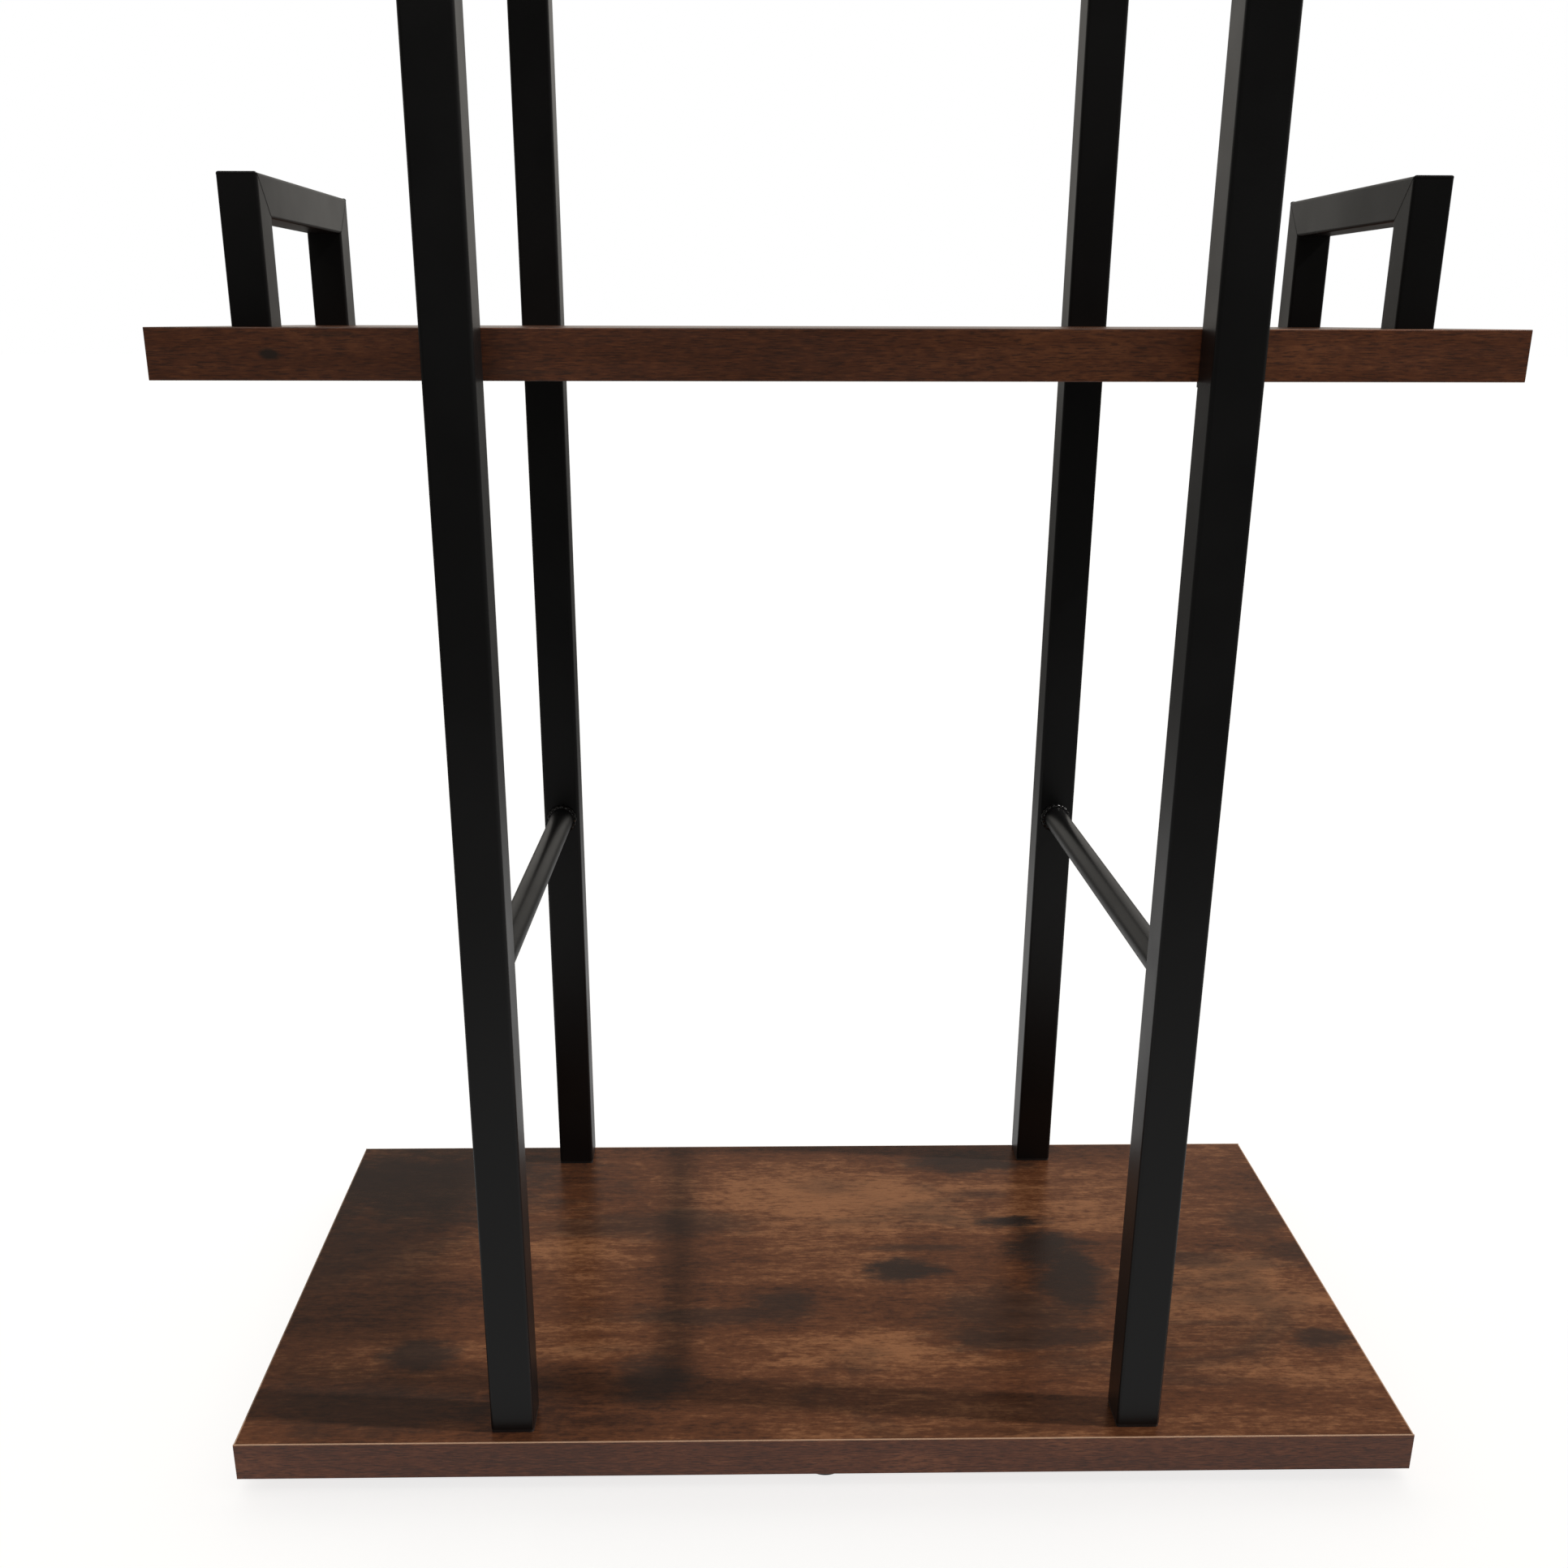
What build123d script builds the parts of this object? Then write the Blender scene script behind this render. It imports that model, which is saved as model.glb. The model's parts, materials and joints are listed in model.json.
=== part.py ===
"""Hall tree with hooks: a four-post steel frame holding a base board, a middle shelf with
side rails, a hat shelf and coat hooks.  Millimetres, +Z up, the front faces -Y, +X is to the
right seen from the front.  The origin is on the floor under the middle of the base board."""

import os

from build123d import *

os.makedirs("parts", exist_ok=True)

# ---------------------------------------------------------------- driving dimensions
# Boards: 24 mm laminated particle board with a 1 mm band round its edges
BOARD = 24
BAND = 1
BAND_ROUND = 0.6
BAND_SEAM = 0.1  # glue line where two bands meet at a corner
BASE_WIDTH = 684
SHELF_WIDTH = 656
SHELF_DEPTH = 284

# Posts: 25 mm square tube, a lower and an upper length on each corner
POST = 25
POST_WALL = 1.5
POST_ROUND = 2
POST_LENGTH = 870
POST_END_CHAMFER = 0.5  # where two lengths meet
FRONT_SPREAD = 390  # over the outer faces of the two front posts
BACK_SPREAD = 376  # over the outer faces of the two back posts
FRONT_LIP = 9  # base board in front of the front posts

# Heights above the top of the base board
SHELF_LIFT = 584  # underside of the middle shelf
BAR_LIFT = 277  # axis of the lower crossbars, and of the upper ones below the post tops

# Crossbars: 16 mm round tube welded between the front and back posts
BAR = 16
BAR_WALL = 1.2
WELD = 2.5

# Side rails on the middle shelf: 20 mm square tube, mitred
RAIL = 20
RAIL_WALL = 1.2
RAIL_ROUND = 1.5
RAIL_HEIGHT = 71
RAIL_LENGTH = 184
RAIL_INSET = 26  # from the end of the shelf to the rail

# Coat hooks, four on a board across the back posts and one outside each post
HOOK_HEIGHT = 1600  # middle of the hook plates above the floor
HOOK_PITCH = 80
HOOK_BOARD = 15
HOOK_BOARD_HEIGHT = 120
PLATE_LENGTH = 100
PLATE_WIDTH = 16
PLATE = 3
HOOK_SCREW_LIFT = 41  # from the middle of a hook plate, up and down
BOARD_SCREW_LIFT = 30  # from the middle of the hook board, up and down
PRONG = 8
UPPER_PRONG = {"root": 12, "out": 48, "tip": 28, "bend": 14, "ball": 7}
LOWER_PRONG = {"root": -20, "out": 24, "tip": -9, "bend": 9, "ball": 5.5}

# Levelling feet
FOOT_HEIGHT = 8
FOOT = 26
FOOT_GAP = 0.3  # between a foot and its insert when it is screwed right in
STEM = 6
STEM_LENGTH = 21
STEM_SEAT = 3  # bottom of the stem above the floor
CORNER_FOOT_INSET = 38
CENTRE_FOOT_INSET = 21

# Fits
SLIP = 0.2  # square plugs and connectors inside their tubes, each side
CLEAR = 0.15  # screw shanks in their holes, on the diameter
RUNNING = 0.14  # foot stems in their inserts, on the diameter

# ---------------------------------------------------------------- derived places
BASE_DEPTH = FRONT_LIP + POST + SHELF_DEPTH + POST
BASE_TOP = FOOT_HEIGHT + BOARD
POST_TOP = BASE_TOP + 2 * POST_LENGTH
JOINT = BASE_TOP + POST_LENGTH
FRONT_FACE = -BASE_DEPTH / 2 + FRONT_LIP + POST  # back face of the front posts
BACK_FACE = BASE_DEPTH / 2 - POST  # front face of the back posts
SHELF_Y = (FRONT_FACE + BACK_FACE) / 2
MID_SHELF = BASE_TOP + SHELF_LIFT
MID_TOP = MID_SHELF + BOARD
HAT_SHELF = POST_TOP - BOARD
FRONT_X = (FRONT_SPREAD - POST) / 2
BACK_X = (BACK_SPREAD - POST) / 2
FRONT_Y = FRONT_FACE - POST / 2
BACK_Y = BACK_FACE + POST / 2
POST_BORE = POST - 2 * POST_WALL
RAIL_BORE = RAIL - 2 * RAIL_WALL
RAIL_X = SHELF_WIDTH / 2 - RAIL_INSET - RAIL / 2
RAIL_FRONT = SHELF_Y - RAIL_LENGTH / 2
RAIL_BACK = SHELF_Y + RAIL_LENGTH / 2
RAIL_TOP = MID_TOP + RAIL_HEIGHT

SIDES = {"left": -1, "right": 1}
CORNERS = {
    "front_left": (-FRONT_X, FRONT_Y),
    "front_right": (FRONT_X, FRONT_Y),
    "back_left": (-BACK_X, BACK_Y),
    "back_right": (BACK_X, BACK_Y),
}
POST_POINTS = list(CORNERS.values())
RAIL_LEG_Y = {"front": RAIL_FRONT + RAIL / 2, "back": RAIL_BACK - RAIL / 2}
RAIL_POINTS = [(side * RAIL_X, y) for side in SIDES.values() for y in RAIL_LEG_Y.values()]

# Welded lugs under each shelf, on the faces of the posts that look at it
LUG = 16
LUG_THICK = 3
LUG_POINTS = [(x, FRONT_FACE + LUG / 2) for x in (-FRONT_X, FRONT_X)]
LUG_POINTS += [(x, BACK_FACE - LUG / 2) for x in (-BACK_X, BACK_X)]

# Screws: shank diameter, head diameter, head height
M4 = (4, 7.5, 2.4)
M5 = (5, 9, 2.8)
M6 = (6, 12, 4.5)
HEX = 0.45  # width of the socket in a screw's head, times the head's diameter

BOLT_REACH = 12  # base bolts inside the post plugs
PLUG_LENGTH = 16
PLUG_FLANGE = 2  # between the foot of a post and the base board
PLUG_FLANGE_INSET = 0.2
CAP = 3  # plastic cap above the top of a post
CAP_BORE = 17
RAIL_PLUG_LENGTH = 12
RAIL_SCREW_REACH = 10
WOOD_SCREW_REACH = 14
BOLT_SINK = 6  # counterbore under the base board
RAIL_SCREW_SINK = 4  # counterbore under the middle shelf
CONNECTOR_LENGTH = 120
CONNECTOR_WALL = 2
CONNECTOR_SCREW_GAP = 35  # from the post joint to each connector screw
HOOK_SCREW_REACH = 12

FEET = {
    "front_left": (-BASE_WIDTH / 2 + CORNER_FOOT_INSET, -BASE_DEPTH / 2 + CORNER_FOOT_INSET),
    "front_centre": (0, -BASE_DEPTH / 2 + CENTRE_FOOT_INSET),
    "front_right": (BASE_WIDTH / 2 - CORNER_FOOT_INSET, -BASE_DEPTH / 2 + CORNER_FOOT_INSET),
    "back_left": (-BASE_WIDTH / 2 + CORNER_FOOT_INSET, BASE_DEPTH / 2 - CORNER_FOOT_INSET),
    "back_centre": (0, BASE_DEPTH / 2 - CENTRE_FOOT_INSET),
    "back_right": (BASE_WIDTH / 2 - CORNER_FOOT_INSET, BASE_DEPTH / 2 - CORNER_FOOT_INSET),
}
FOOT_POINTS = list(FEET.values())
INSERT_FLANGE = (18, 1.5)
INSERT_BARREL = (9, 15)


def looking_down(points, z):
    """Planes at points on one level, facing the floor."""
    return [Plane(origin=(x, y, z), z_dir=(0, 0, -1)) for x, y in points]


def facing(x, y, z, normal):
    """A plane at a point, looking along normal, with its local Y upright."""
    return Plane(origin=(x, y, z), x_dir=Vector(0, 0, 1).cross(Vector(*normal)), z_dir=normal)


def inner_wall(name, z):
    """The plane on the inner side face of a post, looking towards the middle of the frame."""
    x, y = CORNERS[name]
    side = 1 if x > 0 else -1
    return facing(x - side * POST / 2, y, z, (-side, 0, 0))


def outer_wall(name, z):
    """The plane on the outer side face of a post, looking away from the frame."""
    x, y = CORNERS[name]
    side = 1 if x > 0 else -1
    return facing(x + side * POST / 2, y, z, (side, 0, 0))


def circles(plane, diameter, points=((0, 0),)):
    """A sketch of equal circles on a plane."""
    with BuildSketch(plane) as sketch:
        with Locations(*points):
            Circle(diameter / 2)
    return sketch.sketch


def wall_holes(plane, diameter, points=((0, 0),)):
    """Cuts holes through the one post wall that a plane lies on, in the part being built."""
    extrude(circles(plane, diameter, points), amount=-2 * POST_WALL, mode=Mode.SUBTRACT)


def holes_up(z, diameter, depth, points):
    """Cuts holes upwards from the level z, in the part being built."""
    extrude(circles(Plane.XY.offset(z), diameter, points), amount=depth, mode=Mode.SUBTRACT)


def screw(size, grip):
    """A socket head screw at the origin, its head above Z = 0 and its shank grip long below."""
    shank, head, height = size
    with BuildPart() as made:
        with BuildSketch():
            Circle(head / 2)
        extrude(amount=height)
        fillet(made.edges().group_by(Axis.Z)[-1], height / 3)
        with BuildSketch(Plane.XY.offset(height)):
            RegularPolygon(HEX * head / 2, 6)
        extrude(amount=-height * 0.6, mode=Mode.SUBTRACT)
        with BuildSketch():
            Circle(shank / 2)
        extrude(amount=-grip)
        chamfer(made.edges().group_by(Axis.Z)[0], shank / 8)
    return made.part


def screws_on(planes, size, grip):
    """Identical screws, one on each plane, with its head standing on the plane's outer side."""
    one = screw(size, grip)
    with BuildPart() as made:
        with Locations(*[plane.location for plane in planes]):
            add(one)
    return made


# ---------------------------------------------------------------- boards and their edge bands
def band_outline(plane, width, depth, y=0):
    """The sections of the four bands round a board: two run past its ends, two lie between."""
    with BuildSketch(plane) as outline:
        with Locations((0, y - (depth - BAND) / 2), (0, y + (depth - BAND) / 2)):
            Rectangle(width, BAND)
        with Locations((-(width - BAND) / 2, y), ((width - BAND) / 2, y)):
            Rectangle(BAND, depth - 2 * BAND - 2 * BAND_SEAM)
    return outline.sketch


def shelf_bands(width, depth, y, z):
    """The four edge bands of a board, their outer long edges softened."""
    with BuildPart() as bands:
        extrude(band_outline(Plane.XY.offset(z), width, depth, y), amount=BOARD)
        rim = bands.edges().filter_by(Axis.X) + bands.edges().filter_by(Axis.Y)
        outer = [
            edge
            for edge in rim.filter_by(lambda e: e.length > BAND)
            if max(abs(edge.center().X) - width / 2, abs(edge.center().Y - y) - depth / 2) > -BAND / 2
        ]
        fillet(outer, BAND_ROUND)
    return bands


with BuildPart() as base_board:
    with BuildSketch(Plane.XY.offset(FOOT_HEIGHT)):
        Rectangle(BASE_WIDTH - 2 * BAND, BASE_DEPTH - 2 * BAND)
    extrude(amount=BOARD)
    holes_up(FOOT_HEIGHT, M6[0] + 0.6, BOARD, POST_POINTS)
    holes_up(FOOT_HEIGHT, M6[1] + 2, BOLT_SINK, POST_POINTS)
    holes_up(FOOT_HEIGHT, INSERT_BARREL[0] + CLEAR, STEM_LENGTH, FOOT_POINTS)
    holes_up(FOOT_HEIGHT, INSERT_FLANGE[0] + CLEAR, INSERT_FLANGE[1], FOOT_POINTS)
base_board.part.label = "base_board"
export_step(base_board.part, "parts/base_board.step")

base_edge_bands = shelf_bands(BASE_WIDTH, BASE_DEPTH, 0, FOOT_HEIGHT)
base_edge_bands.part.label = "base_edge_bands"
export_step(base_edge_bands.part, "parts/base_edge_bands.step")


def shelf_core(z, rail_holes):
    """A shelf board between the posts, drilled from below for the lug screws and side rails."""
    with BuildPart() as core:
        with BuildSketch(Plane.XY.offset(z)):
            with Locations((0, SHELF_Y)):
                Rectangle(SHELF_WIDTH - 2 * BAND, SHELF_DEPTH - 2 * BAND)
        extrude(amount=BOARD)
        holes_up(z, M4[0] + CLEAR, WOOD_SCREW_REACH + 1, LUG_POINTS)
        if rail_holes:
            holes_up(z, M5[0] + 0.5, BOARD, RAIL_POINTS)
            holes_up(z, M5[1] + 2, RAIL_SCREW_SINK, RAIL_POINTS)
    return core


middle_shelf = shelf_core(MID_SHELF, rail_holes=True)
middle_shelf.part.label = "middle_shelf"
export_step(middle_shelf.part, "parts/middle_shelf.step")

middle_shelf_edge_bands = shelf_bands(SHELF_WIDTH, SHELF_DEPTH, SHELF_Y, MID_SHELF)
middle_shelf_edge_bands.part.label = "middle_shelf_edge_bands"
export_step(middle_shelf_edge_bands.part, "parts/middle_shelf_edge_bands.step")

hat_shelf = shelf_core(HAT_SHELF, rail_holes=False)
hat_shelf.part.label = "hat_shelf"
export_step(hat_shelf.part, "parts/hat_shelf.step")

hat_shelf_edge_bands = shelf_bands(SHELF_WIDTH, SHELF_DEPTH, SHELF_Y, HAT_SHELF)
hat_shelf_edge_bands.part.label = "hat_shelf_edge_bands"
export_step(hat_shelf_edge_bands.part, "parts/hat_shelf_edge_bands.step")


# ---------------------------------------------------------------- posts
def square_tube(x, y, z, length):
    """A length of square tube standing at a point, in the part being built."""
    with BuildSketch(Plane.XY.offset(z)) as section:
        with Locations((x, y)):
            RectangleRounded(POST, POST, POST_ROUND)
            RectangleRounded(POST_BORE, POST_BORE, POST_ROUND - POST_WALL, mode=Mode.SUBTRACT)
    extrude(section.sketch, amount=length)


BOARD_SCREW_LIFTS = [(0, -BOARD_SCREW_LIFT), (0, BOARD_SCREW_LIFT)]
HOOK_SCREW_LIFTS = [(0, -HOOK_SCREW_LIFT), (0, HOOK_SCREW_LIFT)]

for corner, (post_x, post_y) in CORNERS.items():
    with BuildPart() as lower_post:
        square_tube(post_x, post_y, BASE_TOP + PLUG_FLANGE, POST_LENGTH - PLUG_FLANGE)
        chamfer(lower_post.faces().sort_by(Axis.Z)[-1].outer_wire().edges(), POST_END_CHAMFER)
        wall_holes(inner_wall(corner, JOINT - CONNECTOR_SCREW_GAP), M5[0] + CLEAR)
    lower_post.part.label = f"{corner}_lower_post"
    export_step(lower_post.part, f"parts/{corner}_lower_post.step")

    with BuildPart() as upper_post:
        square_tube(post_x, post_y, JOINT, POST_LENGTH)
        chamfer(upper_post.faces().sort_by(Axis.Z)[0].outer_wire().edges(), POST_END_CHAMFER)
        wall_holes(inner_wall(corner, JOINT + CONNECTOR_SCREW_GAP), M5[0] + CLEAR)
        wall_holes(outer_wall(corner, HOOK_HEIGHT), M4[0] + CLEAR, HOOK_SCREW_LIFTS)
        if corner.startswith("back"):
            front_wall = facing(post_x, BACK_FACE, HOOK_HEIGHT, (0, -1, 0))
            wall_holes(front_wall, M5[0] + CLEAR, BOARD_SCREW_LIFTS)
    upper_post.part.label = f"{corner}_upper_post"
    export_step(upper_post.part, f"parts/{corner}_upper_post.step")

SCREW_GAPS = (-CONNECTOR_SCREW_GAP, CONNECTOR_SCREW_GAP)
CONNECTOR_SCREW_PLANES = [inner_wall(corner, JOINT + gap) for corner in CORNERS for gap in SCREW_GAPS]

with BuildPart() as post_connectors:
    with BuildSketch(Plane.XY.offset(JOINT - CONNECTOR_LENGTH / 2)):
        with Locations(*POST_POINTS):
            RectangleRounded(POST_BORE - 2 * SLIP, POST_BORE - 2 * SLIP, 1)
            bore = POST_BORE - 2 * SLIP - 2 * CONNECTOR_WALL
            Rectangle(bore, bore, mode=Mode.SUBTRACT)
    extrude(amount=CONNECTOR_LENGTH)
    for wall in CONNECTOR_SCREW_PLANES:
        extrude(circles(wall, M5[0] + CLEAR), amount=-POST / 2, mode=Mode.SUBTRACT)
post_connectors.part.label = "post_connectors"
export_step(post_connectors.part, "parts/post_connectors.step")

connector_screws = screws_on(CONNECTOR_SCREW_PLANES, M5, POST_WALL + SLIP + CONNECTOR_WALL + 3)
connector_screws.part.label = "connector_screws"
export_step(connector_screws.part, "parts/connector_screws.step")

with BuildPart() as post_foot_plugs:
    with BuildSketch(Plane.XY.offset(BASE_TOP)):
        with Locations(*POST_POINTS):
            RectangleRounded(POST - 2 * PLUG_FLANGE_INSET, POST - 2 * PLUG_FLANGE_INSET, POST_ROUND)
    extrude(amount=PLUG_FLANGE)
    with BuildSketch(Plane.XY.offset(BASE_TOP + PLUG_FLANGE)):
        with Locations(*POST_POINTS):
            RectangleRounded(POST_BORE - 2 * SLIP, POST_BORE - 2 * SLIP, 1)
    extrude(amount=PLUG_LENGTH)
    holes_up(BASE_TOP, M6[0] + CLEAR, PLUG_FLANGE + PLUG_LENGTH, POST_POINTS)
post_foot_plugs.part.label = "post_foot_plugs"
export_step(post_foot_plugs.part, "parts/post_foot_plugs.step")

BOLT_PLANES = looking_down(POST_POINTS, FOOT_HEIGHT + BOLT_SINK)
base_bolts = screws_on(BOLT_PLANES, M6, BOARD - BOLT_SINK + BOLT_REACH)
base_bolts.part.label = "base_bolts"
export_step(base_bolts.part, "parts/base_bolts.step")

with BuildPart() as post_caps:
    with BuildSketch(Plane.XY.offset(POST_TOP)):
        with Locations(*POST_POINTS):
            RectangleRounded(POST, POST, POST_ROUND)
    extrude(amount=CAP)
    chamfer(post_caps.edges().group_by(Axis.Z)[-1], 0.8)
    with BuildSketch(Plane.XY.offset(POST_TOP)):
        with Locations(*POST_POINTS):
            RectangleRounded(POST_BORE - 2 * SLIP, POST_BORE - 2 * SLIP, 1)
            Rectangle(CAP_BORE, CAP_BORE, mode=Mode.SUBTRACT)
    extrude(amount=-PLUG_LENGTH)
post_caps.part.label = "post_caps"
export_step(post_caps.part, "parts/post_caps.step")


# ---------------------------------------------------------------- crossbars and their welds
def bar_circle(y, side, z, radius, wall=0):
    """A disc, or a ring, where a crossbar's axis meets the upright plane at y."""
    share = (y - FRONT_FACE) / SHELF_DEPTH
    x = side * (FRONT_X + (BACK_X - FRONT_X) * share)
    with BuildSketch(Plane(origin=(x, y, z), x_dir=(1, 0, 0), z_dir=(0, 1, 0))) as section:
        Circle(radius)
        if wall:
            Circle(radius - wall, mode=Mode.SUBTRACT)
    return section.sketch


def weld_bead(wall_y, into, side, z):
    """The fillet weld round one end of a crossbar, against the post face at wall_y."""
    with BuildPart() as bead:
        wide = bar_circle(wall_y, side, z, BAR / 2 + WELD)
        narrow = bar_circle(wall_y + into, side, z, BAR / 2 + WELD / 8)
        loft([wide, narrow])
        bore = [bar_circle(wall_y, side, z, BAR / 2), bar_circle(wall_y + into, side, z, BAR / 2)]
        loft(bore, mode=Mode.SUBTRACT)
    return bead.part


BAR_LEVELS = {"lower": BASE_TOP + BAR_LIFT, "upper": POST_TOP - BAR_LIFT}
beads = []
for level, bar_z in BAR_LEVELS.items():
    for side_name, side in SIDES.items():
        with BuildPart() as crossbar:
            ring = bar_circle(FRONT_FACE, side, bar_z, BAR / 2, BAR_WALL)
            run = Vector(side * (BACK_X - FRONT_X), SHELF_DEPTH, 0)
            extrude(ring, amount=run.length, dir=run)
        crossbar.part.label = f"{level}_crossbar_{side_name}"
        export_step(crossbar.part, f"parts/{level}_crossbar_{side_name}.step")
        beads += [weld_bead(FRONT_FACE, WELD, side, bar_z), weld_bead(BACK_FACE, -WELD, side, bar_z)]

with BuildPart() as crossbar_welds:
    add(beads)
crossbar_welds.part.label = "crossbar_welds"
export_step(crossbar_welds.part, "parts/crossbar_welds.step")

# ---------------------------------------------------------------- shelf lugs and their screws
LUG_LEVELS = (MID_SHELF, HAT_SHELF)
with BuildPart() as shelf_lugs:
    for level in LUG_LEVELS:
        with BuildSketch(Plane.XY.offset(level - LUG_THICK)):
            with Locations(*LUG_POINTS):
                Rectangle(LUG, LUG)
                Circle((M4[0] + 0.5) / 2, mode=Mode.SUBTRACT)
        extrude(amount=LUG_THICK)
shelf_lugs.part.label = "shelf_lugs"
export_step(shelf_lugs.part, "parts/shelf_lugs.step")

lug_planes = [plane for level in LUG_LEVELS for plane in looking_down(LUG_POINTS, level - LUG_THICK)]
lug_screws = screws_on(lug_planes, M4, LUG_THICK + WOOD_SCREW_REACH)
lug_screws.part.label = "lug_screws"
export_step(lug_screws.part, "parts/lug_screws.step")


# ---------------------------------------------------------------- side rails on the middle shelf
def rail_section(plane, x, y):
    """The hollow square section of a rail, on a plane."""
    with BuildSketch(plane) as section:
        with Locations((x, y)):
            RectangleRounded(RAIL, RAIL, RAIL_ROUND)
            RectangleRounded(RAIL_BORE, RAIL_BORE, RAIL_ROUND - RAIL_WALL, mode=Mode.SUBTRACT)
    return section.sketch


for side_name, side in SIDES.items():
    mitres = {
        "front": Plane(origin=(side * RAIL_X, RAIL_FRONT, RAIL_TOP), z_dir=(0, 1, 1)),
        "back": Plane(origin=(side * RAIL_X, RAIL_BACK, RAIL_TOP), z_dir=(0, -1, 1)),
    }
    for end, leg_y in RAIL_LEG_Y.items():
        with BuildPart() as rail_leg:
            extrude(rail_section(Plane.XY.offset(MID_TOP), side * RAIL_X, leg_y), amount=RAIL_HEIGHT)
            split(bisect_by=mitres[end], keep=Keep.BOTTOM)
        rail_leg.part.label = f"{side_name}_rail_{end}_leg"
        export_step(rail_leg.part, f"parts/{side_name}_rail_{end}_leg.step")

    with BuildPart() as rail_top:
        front_end = rail_section(Plane.XZ.offset(-RAIL_FRONT), side * RAIL_X, RAIL_TOP - RAIL / 2)
        extrude(front_end, amount=-RAIL_LENGTH)
        split(bisect_by=mitres["front"], keep=Keep.TOP)
        split(bisect_by=mitres["back"], keep=Keep.TOP)
    rail_top.part.label = f"{side_name}_rail_top"
    export_step(rail_top.part, f"parts/{side_name}_rail_top.step")

with BuildPart() as rail_plugs:
    with BuildSketch(Plane.XY.offset(MID_TOP)):
        with Locations(*RAIL_POINTS):
            Rectangle(RAIL_BORE - 2 * SLIP, RAIL_BORE - 2 * SLIP)
            Circle((M5[0] + CLEAR) / 2, mode=Mode.SUBTRACT)
    extrude(amount=RAIL_PLUG_LENGTH)
rail_plugs.part.label = "rail_plugs"
export_step(rail_plugs.part, "parts/rail_plugs.step")

rail_screw_planes = looking_down(RAIL_POINTS, MID_SHELF + RAIL_SCREW_SINK)
rail_screws = screws_on(rail_screw_planes, M5, BOARD - RAIL_SCREW_SINK + RAIL_SCREW_REACH)
rail_screws.part.label = "rail_screws"
export_step(rail_screws.part, "parts/rail_screws.step")


# ---------------------------------------------------------------- coat hooks
def prong(root, out, tip, bend, ball):
    """One prong in the YZ plane: straight out of the plate, bent up, with a ball on its end."""
    with BuildLine(Plane.YZ) as path:
        FilletPolyline((-PLATE / 2, root), (-out, root), (-out, tip), radius=bend)
    end = circles(Plane(origin=(0, -PLATE / 2, root), z_dir=(0, -1, 0)), PRONG)
    sweep(end, path=path.line)
    with Locations((0, -out, tip)):
        Sphere(ball)


with BuildPart() as hook_shape:
    with BuildSketch(Plane.XZ):
        SlotOverall(PLATE_LENGTH, PLATE_WIDTH, rotation=90)
        with Locations(*HOOK_SCREW_LIFTS):
            Circle((M4[0] + 0.4) / 2, mode=Mode.SUBTRACT)
    extrude(amount=PLATE)
    fillet(hook_shape.faces().sort_by(Axis.Y)[0].outer_wire().edges(), 0.8)
    prong(**UPPER_PRONG)
    prong(**LOWER_PRONG)

BOARD_FRONT = BACK_FACE - HOOK_BOARD
BOARD_HOOKS = [(n - 1.5) * HOOK_PITCH for n in range(4)]
HOOK_WALLS = [facing(x, BOARD_FRONT, HOOK_HEIGHT, (0, -1, 0)) for x in BOARD_HOOKS]
HOOK_WALLS += [outer_wall(corner, HOOK_HEIGHT) for corner in CORNERS]

for number, wall in enumerate(HOOK_WALLS, 1):
    standing = Plane(origin=wall.origin, x_dir=wall.x_dir, z_dir=(0, 0, 1))
    with BuildPart() as coat_hook:
        with Locations(standing.location):
            add(hook_shape.part)
    coat_hook.part.label = f"coat_hook_{number}"
    export_step(coat_hook.part, f"parts/coat_hook_{number}.step")

hook_screw_planes = [
    Plane(wall.location * Location((x, lift, PLATE))) for wall in HOOK_WALLS for x, lift in HOOK_SCREW_LIFTS
]
hook_screws = screws_on(hook_screw_planes, M4, PLATE + HOOK_SCREW_REACH)
hook_screws.part.label = "hook_screws"
export_step(hook_screws.part, "parts/hook_screws.step")

BOARD_SCREWS = [(x, lift) for x in (-BACK_X, BACK_X) for zero, lift in BOARD_SCREW_LIFTS]
HOOK_HOLES = [(x, lift) for x in BOARD_HOOKS for zero, lift in HOOK_SCREW_LIFTS]
board_face = facing(0, BOARD_FRONT, HOOK_HEIGHT, (0, -1, 0))
with BuildPart() as hook_board:
    with BuildSketch(board_face):
        Rectangle(BACK_SPREAD - 2 * BAND, HOOK_BOARD_HEIGHT - 2 * BAND)
    extrude(amount=-HOOK_BOARD)
    extrude(circles(board_face, M5[0] + 0.4, BOARD_SCREWS), amount=-HOOK_BOARD, mode=Mode.SUBTRACT)
    hook_holes = circles(board_face, M4[0] + CLEAR, HOOK_HOLES)
    extrude(hook_holes, amount=-HOOK_SCREW_REACH - 1, mode=Mode.SUBTRACT)
hook_board.part.label = "hook_board"
export_step(hook_board.part, "parts/hook_board.step")

with BuildPart() as hook_board_edge_bands:
    extrude(band_outline(board_face, BACK_SPREAD, HOOK_BOARD_HEIGHT), amount=-HOOK_BOARD)
hook_board_edge_bands.part.label = "hook_board_edge_bands"
export_step(hook_board_edge_bands.part, "parts/hook_board_edge_bands.step")

board_screw_planes = [facing(x, BOARD_FRONT, HOOK_HEIGHT + lift, (0, -1, 0)) for x, lift in BOARD_SCREWS]
hook_board_screws = screws_on(board_screw_planes, M5, HOOK_BOARD + POST_WALL + 3)
hook_board_screws.part.label = "hook_board_screws"
export_step(hook_board_screws.part, "parts/hook_board_screws.step")

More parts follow.
